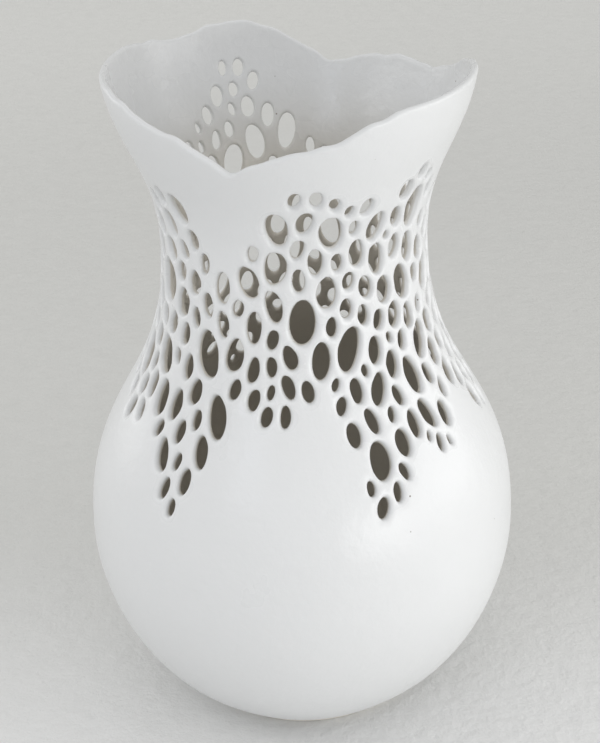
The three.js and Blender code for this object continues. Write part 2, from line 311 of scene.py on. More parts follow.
def hole_sides(outline):
    """The triangles of the frame's pierced sections that are sides of holes, as an array of corners:
    those square to the wall, leaving out the seams between sections."""
    seams = [z for name in PIERCED_NODES for z in (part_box(name)[0].z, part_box(name)[1].z)]
    found = []
    for name in PIERCED_NODES:
        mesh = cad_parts[name].data
        points = np.empty(len(mesh.vertices) * 3)
        mesh.vertices.foreach_get("co", points)
        corners = np.empty(len(mesh.loops), int)
        mesh.loops.foreach_get("vertex_index", corners)
        triangles = points.reshape(-1, 3)[corners.reshape(-1, 3)]
        sides = triangles - np.roll(triangles, 1, axis=1)
        normal = np.cross(sides[:, 1], sides[:, 2])
        double_area = np.linalg.norm(normal, axis=1)
        longest = np.linalg.norm(sides, axis=2).max(axis=1)
        fat = double_area > longest * SLIVER
        triangles, normal = triangles[fat], normal[fat] / double_area[fat, None]
        middle = triangles.mean(axis=1)
        angle = np.arctan2(middle[:, 0], -middle[:, 1])
        k = outline.slope(middle[:, 2])
        out = np.stack([np.sin(angle), -np.cos(angle), -k], axis=1) / np.hypot(1, k)[:, None]
        square = np.abs((normal * out).sum(axis=1)) < SQUARE
        for seam in seams[:-1]:
            square &= np.abs(triangles[:, :, 2] - seam).max(axis=1) > SEAM
        found.append(triangles[square])
    return np.concatenate(found)


def joined(triangles):
    """A number for each triangle that is the same for triangles that touch: each takes the lowest
    number found at its corners, over and over until nothing changes. Corners meet where they fall in
    the same cell of one of two grids set half a cell apart."""
    corners = triangles.reshape(-1, 3)
    cells = []
    for shift in (0.0, 0.5):
        cell = np.floor(corners / TOUCH + shift).astype(np.int64)
        cells.append(np.unique(cell, axis=0, return_inverse=True)[1].reshape(-1, 3))
    label = np.arange(len(triangles))
    while True:
        before = label
        for cell in cells:
            lowest = np.full(cell.max() + 1, len(triangles))
            np.minimum.at(lowest, cell.ravel(), np.repeat(label, 3))
            label = lowest[cell].min(axis=1)
        if np.array_equal(before, label):
            return label


def polygon_moments(x, y):
    """The middle and second moments of a closed outline of points in order."""
    x1, y1 = np.roll(x, -1), np.roll(y, -1)
    cross = x * y1 - x1 * y
    area = cross.sum() / 2
    cx = ((x + x1) * cross).sum() / (6 * area)
    cy = ((y + y1) * cross).sum() / (6 * area)
    xx = ((x * x + x * x1 + x1 * x1) * cross).sum() / (12 * area) - cx * cx
    yy = ((y * y + y * y1 + y1 * y1) * cross).sum() / (12 * area) - cy * cy
    xy = ((x * y1 + 2 * x * y + 2 * x1 * y1 + x1 * y) * cross).sum() / (24 * area) - cx * cy
    return cx, cy, xx, yy, xy


def find_holes(outline):
    """The holes of the frame, a row for each: angle and level of its middle, half width, half height
    and tilt. The corners on the wall's outer face give an outline, and its second moments give the
    oval of the same spread. Lengths are on the level map, where 1 is the wall's radius."""
    triangles = hole_sides(outline)
    labels = joined(triangles)
    holes = []
    for label in np.unique(labels):
        corners = np.unique(np.round(triangles[labels == label].reshape(-1, 3) / GRAIN), axis=0)
        corners *= GRAIN
        angle = np.arctan2(corners[:, 0], -corners[:, 1])
        first = angle[0]
        angle = first + wrapped(angle - first)
        if np.ptp(angle) > WIDEST_HOLE:
            continue
        z = corners[:, 2]
        k = outline.slope(z)
        depth = (outline.radius(z) - np.hypot(corners[:, 0], corners[:, 1])) / np.hypot(1, k)
        outer = depth < FACE_DEPTH
        x, y = angle[outer], outline.level(z[outer])
        order = np.argsort(np.arctan2(y - y.mean(), x - x.mean()))
        cx, cy, xx, yy, xy = polygon_moments(x[order], y[order])
        mean, spread = (xx + yy) / 2, np.hypot((xx - yy) / 2, xy)
        long, short = 2 * np.sqrt(mean + spread), 2 * np.sqrt(mean - spread)
        turn = 0.5 * math.atan2(2 * xy, xx - yy)
        tilt = wrapped(2 * (turn - math.pi / 2)) / 2  # of the long axis from upright
        holes.append((cx, cy, short * CUT_CORNERS, long * CUT_CORNERS, tilt))
    return np.array(sorted(holes))


# ---- The pierced wall ----


def uneven(holes, seed):
    """A small egg shape and a small three-cornered one for each hole: share and heading of both."""
    rng = np.random.default_rng(seed)
    count, turn = len(holes), 2 * math.pi
    egg, three = rng.uniform(0.01, 0.05, count), rng.uniform(0, 0.035, count)
    egg_way, three_way = rng.uniform(0, turn, count), rng.uniform(0, turn, count)
    return np.stack([egg, egg_way, three, three_way], 1)


def swell(shape, t):
    """How much further a hole's edge lies at the turn t than its oval's."""
    egg, egg_way, three, three_way = (shape[..., i] for i in range(4))
    return 1 + egg * np.cos(t - egg_way) + three * np.cos(3 * t - three_way)


def edge_distances(points, holes, shapes):
    """For points on the level map, the nearest hole's index and the distances to the edges of the
    nearest and the second nearest, on the map. With F the share of the way out to the oval, the
    distance is F (F - 1) over the length of (x / a², y / b²)."""
    nearest, first, second = [], [], []
    for part in np.array_split(points, max(1, len(points) // 3000)):
        dx = wrapped(part[:, :1] - holes[:, 0])
        dy = part[:, 1:] - holes[:, 1]
        c, s = np.cos(holes[:, 4]), np.sin(holes[:, 4])
        x, y = dx * c + dy * s, dy * c - dx * s
        a, b = holes[:, 2], holes[:, 3]
        f = np.hypot(x / a, y / b)
        f /= swell(shapes[None], np.arctan2(y / b, x / a))
        distance = f * (f - 1) / np.maximum(np.hypot(x / a**2, y / b**2), 1e-9)
        order = np.argpartition(distance, 1, axis=1)[:, :2]
        two = np.take_along_axis(distance, order, axis=1)
        swap = two[:, 0] > two[:, 1]
        nearest.append(np.where(swap, order[:, 1], order[:, 0]))
        first.append(two.min(axis=1))
        second.append(two.max(axis=1))
    return np.concatenate(nearest), np.concatenate(first), np.concatenate(second)


def rounding(radius, near, second):
    """How deep a hole's rounded edge lies below the wall's face: the edge is a quarter circle, whose
    radius is the given one or, in a narrow web, half of the web. At a distance d from the hole it
    lies r - sqrt(r² - (r - d)²) deep."""
    r = np.minimum(radius, (near + second) / 2)
    left = r - np.clip(near, 0, r)
    return r - np.sqrt(np.maximum(r * r - left * left, 0))


def hole_loops(outline, holes, shapes, step):
    """Points round every hole's edge, evenly spaced by about the step: place on the level map, way
    out of the hole, index of the hole, and first index and count for each hole's loop."""
    places, ways, owners, starts, counts = [], [], [], [], []
    fine = np.linspace(0, 2 * math.pi, 721)
    total = 0
    for i, (angle, level, a, b, tilt) in enumerate(holes):
        out = swell(shapes[i], fine)
        x, y = a * out * np.cos(fine), b * out * np.sin(fine)
        run = np.concatenate([[0], np.cumsum(np.hypot(np.diff(x), np.diff(y)))])
        radius = outline.radius(outline.height(level))
        count = max(16, int(round(run[-1] * radius / step)))
        t = np.interp(np.arange(count) * run[-1] / count, run, fine)
        x, y = np.interp(t, fine, x), np.interp(t, fine, y)
        dx, dy = np.roll(x, -1) - np.roll(x, 1), np.roll(y, -1) - np.roll(y, 1)
        size = np.hypot(dx, dy)
        nx, ny = dy / size, -dx / size
        c, s = math.cos(tilt), math.sin(tilt)
        places.append(np.stack([angle + x * c - y * s, level + x * s + y * c], 1))
        ways.append(np.stack([nx * c - ny * s, nx * s + ny * c], 1))
        owners.append(np.full(count, i))
        starts.append(total)
        counts.append(count)
        total += count
    return np.concatenate(places), np.concatenate(ways), np.concatenate(owners), starts, counts


def uneven_edge(angle):
    """The rim's small unevenness in millimetres, from being cut by hand: three sines that go 19, 31
    and 47 times round."""
    return 0.2 * (np.sin(19 * angle + 1) + np.sin(31 * angle + 2.5) + 0.6 * np.sin(47 * angle + 0.3))


def on_plane(points):
    """The level map rolled out from a cone on to a plane, so that it has no seam: a point lies at
    e to the power level from the middle, on the ray of its angle."""
    far = np.exp(points[:, 1])
    return np.stack([far * np.sin(points[:, 0]), -far * np.cos(points[:, 0])], 1)


class Sheet:
    """The triangles of one face of the pierced wall, from a circle below the holes up to the rim, as
    points of the level map. Loops of points run round every hole, with rings beside them for the
    rounded edge, and looser points fill the rest."""

    SPACING = 0.92 * MM  # of the points round a hole
    RINGS = ((28, 0.85), (55, 0.5), (80, 0.15))  # degrees round the edge, and share of the lean
    LEAST_GAP = 0.02 * MM  # between a ring's point and the hole
    WEB_STEP = 1.9 * MM  # of the looser points near a hole
    ROW_RISE = 0.866  # of a step lies between two rows, for even triangles
    JITTER = 0.12  # of a step, the most that a looser point is moved
    NEAR_HOLE = 5 * MM  # further out, three of four looser points are left away
    EDGE_GAP = 0.35 * MM  # kept clear beyond a rounded edge
    RIM_GAP = 3.4 * MM  # kept clear below the rim
    UNDER_RIM = ((0.9 * MM, 0), (2.1 * MM, 0.5))  # rows below the rim, and their turn in steps
    COLUMNS = 192  # of the lowest circle and the bowl
    RIM_POINTS = 420

    def __init__(self, outline, sizes, start_z):
        self.outline, self.sizes, self.start_z = outline, sizes, start_z
        self.holes = find_holes(outline)
        self.shapes = uneven(self.holes, sizes.seed)
        self.place_points()
        self.join_points()

    def radius(self, points):
        return self.outline.radius(self.outline.height(points[:, 1]))

    def distances(self, points):
        """Nearest hole, and distances to the nearest and second nearest hole's edge, in metres."""
        nearest, first, second = edge_distances(points, self.holes, self.shapes)
        r = self.radius(points)
        return nearest, first * r, second * r

    def rim_level(self, angle):
        s = self.sizes
        top = s.rim_height + MM * (wave(RIM_WAVES, angle) + uneven_edge(angle))
        return self.outline.level(top) - 0.5 * s.lip / s.rim_radius

    def place_points(self):
        """All points in one list: those of the holes, the looser ones, the rows below the rim, the
        rim and the lowest circle."""
        beside, owners, taper = self.edge_points()
        fill = self.fill_points()
        rim, *under = self.rim_rows()
        low_angle = np.arange(self.COLUMNS) * 2 * math.pi / self.COLUMNS
        low = np.stack([low_angle, np.full(self.COLUMNS, self.outline.level(self.start_z))], 1)
        self.points = np.concatenate([beside, fill, *under, rim, low])
        others = len(self.points) - len(beside)
        self.owner = np.concatenate([owners, np.full(others, -1)])
        self.taper = np.concatenate([taper, np.zeros(others)])
        self.low = np.arange(len(self.points) - self.COLUMNS, len(self.points))
        self.rim = np.arange(self.low[0] - self.RIM_POINTS, self.low[0])

    def edge_points(self):
        """The loops round the holes and the rings beside them, less ring points that lie nearer to
        another hole: points, indices of their holes and shares of the inner face's lean."""
        loop, way, owner, self.starts, self.counts = hole_loops(
            self.outline, self.holes, self.shapes, self.SPACING
        )
        second = self.distances(loop)[2]
        reach = np.minimum(self.sizes.edge, second / 2) / self.radius(loop)
        rings, owners, taper = [loop], [owner], [np.ones(len(loop))]
        for turn, left in self.RINGS:
            out = (reach * (1 - math.cos(turn * DEGREE)))[:, None]
            rings.append(loop + way * out)
            owners.append(owner)
            taper.append(np.full(len(loop), left))
        beside, owners, taper = (np.concatenate(a) for a in (rings, owners, taper))
        nearest, first, _ = self.distances(beside)
        keep = (nearest == owners) & (first > self.LEAST_GAP)
        keep[: len(loop)] = True
        return beside[keep], owners[keep], taper[keep]

    def rim_rows(self):
        """The row of points along the rim and the rows close below it."""
        angle = np.arange(self.RIM_POINTS) * 2 * math.pi / self.RIM_POINTS
        rows = [np.stack([angle, self.rim_level(angle)], 1)]
        for down, shift in self.UNDER_RIM:
            moved = angle + shift * (angle[1] - angle[0])
            rows.append(np.stack([moved, self.rim_level(moved) - down / self.sizes.rim_radius], 1))
        return rows

    def fill_points(self):
        """Points in rows set half a step apart, kept clear of the holes' edges, of the rim and of the
        lowest circle, and thinned to every second one each way where no hole is near."""
        o = self.outline
        step = self.WEB_STEP / MEAN_RADIUS
        rise = step * self.ROW_RISE
        low = o.level(self.start_z)
        count = int(2 * math.pi / step) // 2 * 2
        rows = np.arange(1, int((o.m[-1] - low) / rise))
        row, column = (a.ravel() for a in np.meshgrid(rows, np.arange(count), indexing="ij"))
        angle = (column + 0.5 * (row % 2)) * 2 * math.pi / count
        points = np.stack([angle, low + row * rise], 1)
        rng = np.random.default_rng(self.sizes.seed)
        points += rng.uniform(-self.JITTER, self.JITTER, points.shape) * step
        _, first, second = self.distances(points)
        coarse = (row % 2 == 0) & (column % 2 == (row // 2) % 2)
        clear = np.where(first < self.NEAR_HOLE, True, coarse)
        clear &= first > np.minimum(self.sizes.edge, (first + second) / 2) + self.EDGE_GAP
        rim_gap = (self.rim_level(points[:, 0]) - points[:, 1]) * self.sizes.rim_radius
        clear &= rim_gap > self.RIM_GAP
        clear &= (points[:, 1] - low) > 0.5 * step
        return points[clear]

    def join_points(self):
        """Triangles between the points with no point inside a triangle's circle (Delaunay), less those
        that would close a hole, the mouth or the bottom."""
        edges = [
            np.stack([start + np.arange(n), start + np.roll(np.arange(n), -1)], 1)
            for start, n in zip(self.starts, self.counts)
        ]
        for ring in (self.rim, self.low):
            edges.append(np.stack([ring, np.roll(ring, -1)], 1))
        plane = on_plane(self.points - [0, self.outline.level(self.sizes.waist_height)])
        found = delaunay_2d_cdt(plane, np.concatenate(edges).tolist(), [], 0, 1e-7, True)
        origin = np.array([ids[0] if ids else -1 for ids in found[3]])
        if len(origin) != len(self.points) or (origin < 0).any():
            raise RuntimeError("The points of the wall fell together: the holes' edges cross.")
        triangles = origin[np.array(found[2])]
        kind = np.full(len(self.points), -1)
        for i, (start, n) in enumerate(zip(self.starts, self.counts)):
            kind[start : start + n] = i
        kind[self.rim], kind[self.low] = len(self.starts), len(self.starts) + 1
        corner = kind[triangles]
        same = (corner[:, 0] == corner[:, 1]) & (corner[:, 0] == corner[:, 2]) & (corner[:, 0] >= 0)
        middle = self.points[triangles]
        middle[:, :, 0] = middle[:, :1, 0] + wrapped(middle[:, :, 0] - middle[:, :1, 0])
        middle = middle.mean(axis=1)
        above = middle[:, 1] > self.rim_level(middle[:, 0])
        drop = same & ((corner[:, 0] != len(self.starts)) | above)
        self.triangles = triangles[~drop]
        self.check_winding(plane)

    def check_winding(self, plane):
        """Turns every triangle so that it faces out of the wall: the plane shows the wall from inside,
        so there its corners run clockwise."""
        a, b, c = (plane[self.triangles[:, i]] for i in range(3))
        area = (b[:, 0] - a[:, 0]) * (c[:, 1] - a[:, 1]) - (b[:, 1] - a[:, 1]) * (c[:, 0] - a[:, 0])
        flip = area > 0
        self.triangles[flip] = self.triangles[flip][:, ::-1]

    def outer_points(self):
        _, first, second = self.distances(self.points)
        z = self.outline.height(self.points[:, 1])
        depth = rounding(self.sizes.edge, first, second)
        return self.place(self.points[:, 0], z, depth), first

    def inner_points(self):
        """The inner face: the same points moved towards the middles of their holes, because a blade
        drawn round a hole leans inwards, and sunk by the wall's thickness less the inner rounding."""
        points = self.points.copy()
        owned = self.owner >= 0
        middle = self.holes[self.owner[owned], :2]
        offset = points[owned] - middle
        offset[:, 0] = wrapped(offset[:, 0])
        share = LEAN * self.taper[owned]
        points[owned] -= offset * share[:, None]
        _, first, second = self.distances(self.points)
        size = np.hypot(offset[:, 0], offset[:, 1]) * self.radius(points[owned])
        first[owned] += size * (LEAN - share)
        z = self.outline.height(points[:, 1])
        depth = self.outline.thickness(z) - rounding(self.sizes.inner_edge, first, second)
        return self.place(points[:, 0], z, depth), first

    def place(self, angle, z, depth):
        s = self.sizes
        return self.outline.skin(angle, z, depth - sway(angle, z, s.sway, s.seed))


def ring_faces(lower, upper):
    """Four-cornered faces between two closed rows of as many points, which face away from the axis
    where the rows run round with the angle and the second lies above the first."""
    return np.stack([lower, np.roll(lower, -1), np.roll(upper, -1), upper], 1)


def lip_rows(sheet, count):
    """Rows of points over the lip, from the outer face's last row to the inner's: half a circle whose
    width is the wall's thickness, standing square to the wavy edge within the wall."""
    o, s = sheet.outline, sheet.sizes
    angle, level = sheet.points[sheet.rim, 0], sheet.points[sheet.rim, 1]
    z = o.height(level)
    step = 1e-4
    rise = (sheet.rim_level(angle + step) - sheet.rim_level(angle - step)) / (2 * step)
    outer = sheet.place(angle, z, np.zeros_like(z))
    inner = sheet.place(angle, z, o.thickness(z))
    middle, half = (outer + inner) / 2, (outer - inner) / 2
    k = o.slope(z)
    tall = np.hypot(1, k)
    up = np.stack([k * np.sin(angle), -k * np.cos(angle), np.ones_like(z)], 1) / tall[:, None]
    along = np.stack([np.cos(angle), np.sin(angle), np.zeros_like(z)], 1)
    out = (up - rise[:, None] * along) / np.hypot(1, rise)[:, None]
    reach = np.linalg.norm(half, axis=1)[:, None]
    turns = np.linspace(0, math.pi, count + 1)[1:-1]
    return [middle + half * math.cos(t) + out * reach * math.sin(t) for t in turns]


class Body:
    """Points and faces gathered row by row. Each point has two marks: inside is 0 on the outer face
    and 1 on the inner one, and edge is the distance to the nearest hole, or 1 away from the holes."""

    def __init__(self):
        self.points, self.faces, self.marks, self.total = [], [], [], 0

    def add(self, points, inside, edge):
        """Adds points with their marks, and gives their indices."""
        count = len(points)
        self.points.append(points)
        self.marks.append(np.stack([np.broadcast_to(m, count) for m in (inside, edge)], 1))
        self.total += count
        return np.arange(self.total - count, self.total)


def build_wall(sizes):
    """The whole glazed vase as one closed skin: the pierced sheet twice, outside and inside, joined
    through every hole and over the lip, and turned rows below it to the floor and the underside."""
    outline = Outline(sizes)
    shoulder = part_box("pierced_shoulder")[0].z
    sheet = Sheet(outline, sizes, shoulder - BAND_MARGIN)
    body = Body()
    outer, outer_edge = sheet.outer_points()
    inner, inner_edge = sheet.inner_points()
    a = body.add(outer, 0.0, outer_edge)
    b = body.add(inner, 1.0, inner_edge)
    body.faces += [a[sheet.triangles], b[sheet.triangles][:, ::-1]]
    for start, n in zip(sheet.starts, sheet.counts):
        loop = start + np.arange(n)
        body.faces.append(ring_faces(a[loop], b[loop]))
    last = a[sheet.rim]
    rows = lip_rows(sheet, LIP_ROWS)
    for i, row in enumerate(rows):
        ids = body.add(row, (i + 1) / (len(rows) + 1), 1.0)
        body.faces.append(ring_faces(last, ids))
        last = ids
    body.faces.append(ring_faces(last, b[sheet.rim]))
    add_bowl(body, sheet, a[sheet.low], b[sheet.low])
    return body


def add_bowl(body, sheet, outer_top, inner_top):
    """The turned bowl: rows of points round the axis, down the outside to the middle of the
    underside, and down the inside to the middle of the floor."""
    o, s = sheet.outline, sheet.sizes
    angle = sheet.points[sheet.low, 0]
    floor_top = s.foot_height + s.floor
    rise = sheet.start_z - s.foot_height
    steps = int(rise / BOWL_STEP)
    down = np.linspace(0, 1, steps + 1)[1:]
    heights = s.foot_height + rise * (1 - down) ** BOWL_EASE
    last = outer_top
    for z in heights:
        ids = body.add(sheet.place(angle, np.full_like(angle, z), 0.0), 0.0, 1.0)
        body.faces.append(ring_faces(ids, last))
        last = ids
    close_disc(body, last, s.foot_height, 0.0, False)
    last = inner_top
    for z in heights[heights > floor_top + FLOOR_GAP]:
        level = np.full_like(angle, z)
        ids = body.add(sheet.place(angle, level, o.thickness(level)), 1.0, 1.0)
        body.faces.append(ring_faces(last, ids))
        last = ids
    close_disc(body, last, floor_top, 1.0, True)


def close_disc(body, ring, height, inside, up):
    """Closes a ring of points with rows that shrink towards the axis on to one middle point, easing
    from the ring's height to the given one."""
    points = np.concatenate(body.points)[ring]
    last = ring
    for share in np.linspace(1, 0, DISC_ROWS + 1)[1:-1]:
        row = points * share
        ease = np.clip((1 - share) / DISC_EASE, 0, 1)
        row[:, 2] = points[:, 2] + (height - points[:, 2]) * math.sin(ease * math.pi / 2)
        ids = body.add(row, inside, 1.0)
        body.faces.append(ring_faces(last, ids) if up else ring_faces(ids, last))
        last = ids
    middle = body.add(np.array([[0.0, 0.0, height]]), inside, 1.0)
    fan = np.stack([last, np.roll(last, -1), np.full(len(last), middle[0])], 1)
    body.faces.append(fan if up else fan[:, ::-1])


def foot_ring(s):
    """The foot ring: points and faces of a closed profile turned round the axis, rounded below on
    both sides."""
    inner, outer, top = s.foot_radius - s.foot_width, s.foot_radius, s.foot_height
    t = np.linspace(0, math.pi / 2, 7)
    right = np.stack([outer - FOOT_WIDE + FOOT_WIDE * np.sin(t), FOOT_SOFT * (1 - np.cos(t))], 1)
    left = np.stack([inner + FOOT_SOFT - FOOT_SOFT * np.cos(t), FOOT_SOFT * (1 - np.sin(t))], 1)
    crest = ((inner + outer) / 2, top + FOOT_CREST)
    profile = np.concatenate([[(inner, top)], left, right, [(outer, top)], [crest]])
    profile = profile[np.r_[True, np.abs(np.diff(profile, axis=0)).sum(axis=1) > 1e-6]]
    angle = np.arange(FOOT_COLUMNS) * 2 * math.pi / FOOT_COLUMNS
    r, z = profile[:, 0], profile[:, 1]
    across, towards = np.outer(r, np.sin(angle)), np.outer(r, -np.cos(angle))
    grid = np.stack([across, towards, np.outer(z, np.ones_like(angle))], axis=-1)
    rows = np.arange(grid.shape[0] * grid.shape[1]).reshape(grid.shape[:2])
    faces = [ring_faces(rows[i - 1], rows[i]) for i in range(len(rows))]
    return grid.reshape(-1, 3), faces


def mesh_object(name, points, faces):
    """An object at the origin whose mesh has these points and these lists of faces."""
    mesh = bpy.data.meshes.new(name)
    corners = np.concatenate([f.ravel() for f in faces]).astype(np.int32)
    sizes = np.concatenate([np.full(len(f), f.shape[1]) for f in faces])
    starts = np.concatenate([[0], np.cumsum(sizes)[:-1]]).astype(np.int32)
    mesh.vertices.add(len(points))
    mesh.vertices.foreach_set("co", np.ascontiguousarray(points, np.float32).ravel())
    mesh.loops.add(len(corners))
    mesh.loops.foreach_set("vertex_index", corners)
    mesh.polygons.add(len(sizes))
    mesh.polygons.foreach_set("loop_start", starts)
    mesh.update(calc_edges=True)
    mesh.polygons.foreach_set("use_smooth", np.ones(len(sizes), bool))
    if mesh.validate():
        raise RuntimeError(name + " has faces that share all their corners.")
    obj = bpy.data.objects.new(name, mesh)
    bpy.context.scene.collection.objects.link(obj)
    return obj


def add_mark(obj, name, values):
    """A number at each point of a mesh, which its material reads."""
    mark = obj.data.attributes.new(name, "FLOAT", "POINT")
    mark.data.foreach_set("value", np.ascontiguousarray(values, np.float32))


# ---- Materials ----


def add_node(tree, kind, inputs=None, **settings):
    """A node of a kind with its settings. Each input is a value, or another node's output to link."""
    node = tree.nodes.new(kind)
    for key, value in settings.items():
        setattr(node, key, value)
    for key, value in (inputs or {}).items():
        if isinstance(value, bpy.types.NodeSocket):
            tree.links.new(value, node.inputs[key])
        else:
            node.inputs[key].default_value = value
    return node


def new_material(name):
    material = bpy.data.materials.new(name)
    material.use_nodes = True
    tree = material.node_tree
    tree.nodes.clear()
    return material, tree


def rgba(values):
    return (*values, 1.0)


def smooth_range(tree, value, start, end):
    """0 where the value is at the start, 1 where it is at the end, with an eased way between."""
    return add_node(
        tree,
        "ShaderNodeMapRange",
        {"Value": value, "From Min": start, "From Max": end, "To Min": 0.0, "To Max": 1.0},
        interpolation_type="SMOOTHSTEP",
    ).outputs["Result"]


def noise(tree, place, scale, detail=3.0, roughness=0.55):
    """Cloudy noise; a scale of n gives spots about 1 / n metre across."""
    inputs = {"Vector": place, "Scale": scale, "Detail": detail, "Roughness": roughness}
    return add_node(tree, "ShaderNodeTexNoise", inputs).outputs["Fac"]


def maths(tree, operation, a, b):
    """Two numbers or nodes' outputs worked into one by a named operation."""
    return add_node(tree, "ShaderNodeMath", {0: a, 1: b}, operation=operation).outputs[0]


def mixed(tree, share, a, b):
    """A colour between two others; each is a colour or another node's output."""
    inputs = {"Factor": share, "A": a, "B": b}
    return add_node(tree, "ShaderNodeMix", inputs, data_type="RGBA").outputs["Result"]


def satin_glaze(colours):
    """Satin white glaze on thrown porcelain."""
    # A zircon-white glaze, sprayed over porcelain and fired to a satin face: tiny crystals scatter the
    # light, so highlights are broad and soft, and the face has a faint orange peel. It pools and turns
    # glossier beside cut edges. Inside, below the collar, it is painted darker and warmer: painted shade
    # in the hollow. The collar is painted up to a tenth darker, most of all inside: painted shade too. A
    # few iron specks, up to about 0.6 mm wide, have burnt through it.
    material, tree = new_material("satin_white_glaze")
    place = add_node(tree, "ShaderNodeTexCoord").outputs["Object"]
    inside = add_node(tree, "ShaderNodeAttribute", attribute_name="inside").outputs["Fac"]
    edge = add_node(tree, "ShaderNodeAttribute", attribute_name="edge").outputs["Fac"]
    height = add_node(tree, "ShaderNodeSeparateXYZ", {"Vector": place}).outputs["Z"]

    clouds = noise(tree, place, CLOUDS)
    patches = noise(tree, place, PATCHES, detail=2.0)
    # Painted shade: the inside below the collar takes the darker, warmer inside tone.
    low = smooth_range(tree, height, 0.215, 0.170)
    deep_inside_shade = maths(tree, "MULTIPLY", low, smooth_range(tree, inside, 0.0, 0.9))
    near = smooth_range(tree, edge, 3.0 * MM, 0.8 * MM)
    pooled = maths(tree, "MULTIPLY", near, smooth_range(tree, patches, 0.42, 0.62))

    cells = add_node(tree, "ShaderNodeTexVoronoi", {"Vector": place, "Scale": SPECK_CELLS})
    pick = add_node(tree, "ShaderNodeSeparateXYZ", {"Vector": cells.outputs["Color"]}).outputs["X"]
    chosen = maths(tree, "LESS_THAN", pick, SPECK_SHARE)
    dot = smooth_range(tree, cells.outputs["Distance"], *SPECK_EDGE)
    speck = maths(tree, "MULTIPLY", dot, chosen)

    white = mixed(tree, clouds, rgba(c * 0.97 for c in colours.glaze), rgba(colours.glaze))
    # Painted shade: from just below the waist up, the glaze is painted up to a tenth darker, fully on
    # the inner face and half as much on the outer.
    high = smooth_range(tree, height, 0.165, 0.200)
    lean = maths(tree, "MULTIPLY", high, smooth_range(tree, inside, -1.0, 1.0))
    collar_shaded_white = mixed(tree, lean, white, rgba(c * 0.90 for c in colours.glaze))
    base = mixed(tree, deep_inside_shade, collar_shaded_white, rgba(colours.shaded_inside_colour))
    specked = mixed(tree, speck, base, rgba(colours.speck))

    satin = add_node(
        tree,
        "ShaderNodeMapRange",
        {"Value": clouds, "From Min": 0.3, "From Max": 0.7, "To Min": 0.27, "To Max": 0.37},
    ).outputs["Result"]
    flare = maths(tree, "MULTIPLY", high, smooth_range(tree, inside, 0.1, 0.9))
    swilled = maths(tree, "MULTIPLY", flare, smooth_range(tree, patches, 0.35, 0.6))
    glossy = maths(tree, "MULTIPLY", maths(tree, "MAXIMUM", pooled, swilled), 0.14)
    gloss = maths(tree, "SUBTRACT", satin, glossy)

    peel = noise(tree, place, PEEL, detail=2.0)
    ripple = noise(tree, place, RIPPLE, detail=1.0)
    relief = maths(tree, "ADD", maths(tree, "MULTIPLY", peel, 0.35), ripple)
    bump = add_node(tree, "ShaderNodeBump", {"Height": relief, "Strength": 0.8, "Distance": 0.00025})
    shader = add_node(
        tree,
        "ShaderNodeBsdfPrincipled",
        {
            "Base Color": specked,
            "Roughness": gloss,
            "IOR": 1.52,
            "Normal": bump.outputs["Normal"],
        },
    )
    add_node(tree, "ShaderNodeOutputMaterial", {"Surface": shader.outputs["BSDF"]})
    return material


def sanded_porcelain(colours):
    """Bare fired porcelain, sanded smooth."""
    # The foot is wiped free of glaze and sanded after firing: matt, a little warmer than the glaze,
    # with a fine even tooth.
    material, tree = new_material("sanded_bare_porcelain")
    place = add_node(tree, "ShaderNodeTexCoord").outputs["Object"]
    tooth = noise(tree, place, TOOTH, detail=2.0)
    tone = mixed(tree, tooth, rgba(c * 0.93 for c in colours.clay), rgba(colours.clay))
    bump = add_node(tree, "ShaderNodeBump", {"Height": tooth, "Strength": 0.3, "Distance": 0.0001})
    inputs = {
        "Base Color": tone,
        "Roughness": 0.85,
        "IOR": 1.5,
        "Normal": bump.outputs["Normal"],
    }
    shader = add_node(tree, "ShaderNodeBsdfPrincipled", inputs)
    add_node(tree, "ShaderNodeOutputMaterial", {"Surface": shader.outputs["BSDF"]})
    return material


def pale_sheet(stage):
    """Heavy pale paper, faintly mottled, and painted paler towards its front and far behind the vase:
    painted light.
    """
    # Background paper pressed with a soft felt: matt, with shallow dents a few millimetres across.
    material, tree = new_material("pale_felt_paper")
    place = add_node(tree, "ShaderNodeTexCoord").outputs["Object"]
    depth = add_node(tree, "ShaderNodeSeparateXYZ", {"Vector": place}).outputs["Y"]
    # Painted light: the sheet is painted paler towards its front and far behind the vase.
    front = smooth_range(tree, depth, 0.13, -0.08)
    behind = smooth_range(tree, depth, 0.4, 1.0)
    sheet = mixed(tree, behind, mixed(tree, front, rgba(stage.sheet), rgba(stage.near)), rgba(stage.far))
    mottle = noise(tree, place, 90.0, detail=4.0, roughness=0.6)
    dents = noise(tree, place, 200.0, roughness=0.6)
    tone = mixed(tree, mottle, sheet, mixed(tree, 0.08, sheet, rgba((0.0, 0.0, 0.0))))
    bump = add_node(tree, "ShaderNodeBump", {"Height": dents, "Strength": 0.9, "Distance": 0.0008})
    inputs = {
        "Base Color": tone,
        "Roughness": 0.95,
        "IOR": 1.45,
        "Normal": bump.outputs["Normal"],
    }
    shader = add_node(tree, "ShaderNodeBsdfPrincipled", inputs)
    add_node(tree, "ShaderNodeOutputMaterial", {"Surface": shader.outputs["BSDF"]})
    return material


# ---- Operators ----


class VASE_OT_wall(bpy.types.Operator):
    """Builds the glazed vase with its floor, its pierced wall and its lip"""

    bl_idname = "vase.wall"
    bl_label = "Build Vase Wall"

    def execute(self, context):
        body = build_wall(context.scene.vase_sizes)
        obj = mesh_object("vase_body", np.concatenate(body.points), body.faces)
        marks = np.concatenate(body.marks)
        add_mark(obj, "inside", marks[:, 0])
        add_mark(obj, "edge", marks[:, 1])
        obj.data.materials.append(satin_glaze(context.scene.vase_colours))
        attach(obj, "root")
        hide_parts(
            "bowl_base", "belly_wall", "pierced_shoulder", "pierced_neck", "flared_collar"
        )
        return {"FINISHED"}


